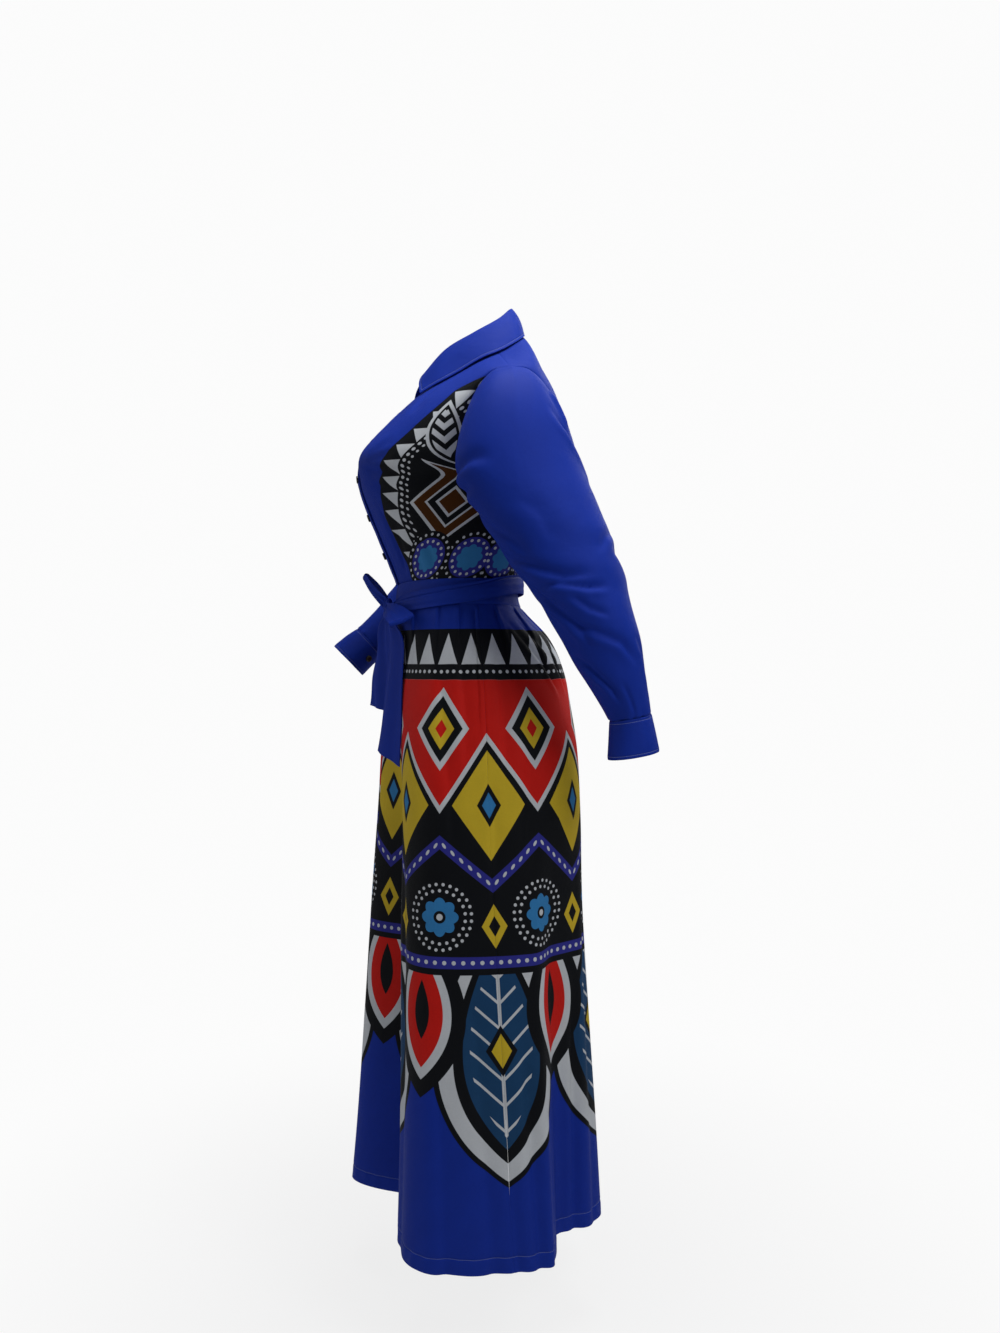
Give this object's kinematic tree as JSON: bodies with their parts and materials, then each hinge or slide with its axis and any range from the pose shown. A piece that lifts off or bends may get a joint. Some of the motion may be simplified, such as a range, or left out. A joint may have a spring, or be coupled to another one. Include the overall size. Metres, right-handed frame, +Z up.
{
  "type": "maxi dress",
  "caption": "Long-sleeved shirt-style maxi dress in printed and plain cloth, with a turned-down collar, tied belt and long folded skirt, in its worn shape.",
  "frame": {"origin": "on the mid-line of the dress at the height of the shoulder seam's neck end, where the wearer's shoulders hold it up", "axes": "+Z up, the front faces -Y, the wearer's left is +X"},
  "size_m": [0.6194, 0.4351, 1.3715],
  "materials": {
    "blue_cloth": "smooth woven polyester with a soft satin sheen",
    "printed_cloth": "the same cloth with a printed pattern in black, white, red, yellow and blue",
    "button_black": "black, lightly polished"
  },
  "bodies": {
    "root": {"front_band_left": "blue_cloth", "front_band_right": "blue_cloth", "collar": "blue_cloth", "collar_stand": "blue_cloth", "waistband": "blue_cloth", "sleeve_left": "blue_cloth", "sleeve_right": "blue_cloth", "cuff_left": "blue_cloth", "cuff_right": "blue_cloth", "belt": "blue_cloth", "belt_knot": "blue_cloth", "bow_loop_far": "blue_cloth", "bow_loop_near": "blue_cloth", "belt_tail_far": "blue_cloth", "belt_tail_near": "blue_cloth", "front_left": "printed_cloth", "front_right": "printed_cloth", "back_bodice": "printed_cloth", "skirt_front": "printed_cloth", "skirt_back": "printed_cloth", "cuff_button_left": "button_black", "cuff_button_right": "button_black", "front_button_1": "button_black", "front_button_2": "button_black", "front_button_3": "button_black", "front_button_4": "button_black", "front_button_5": "button_black"}
  },
  "joints": []
}
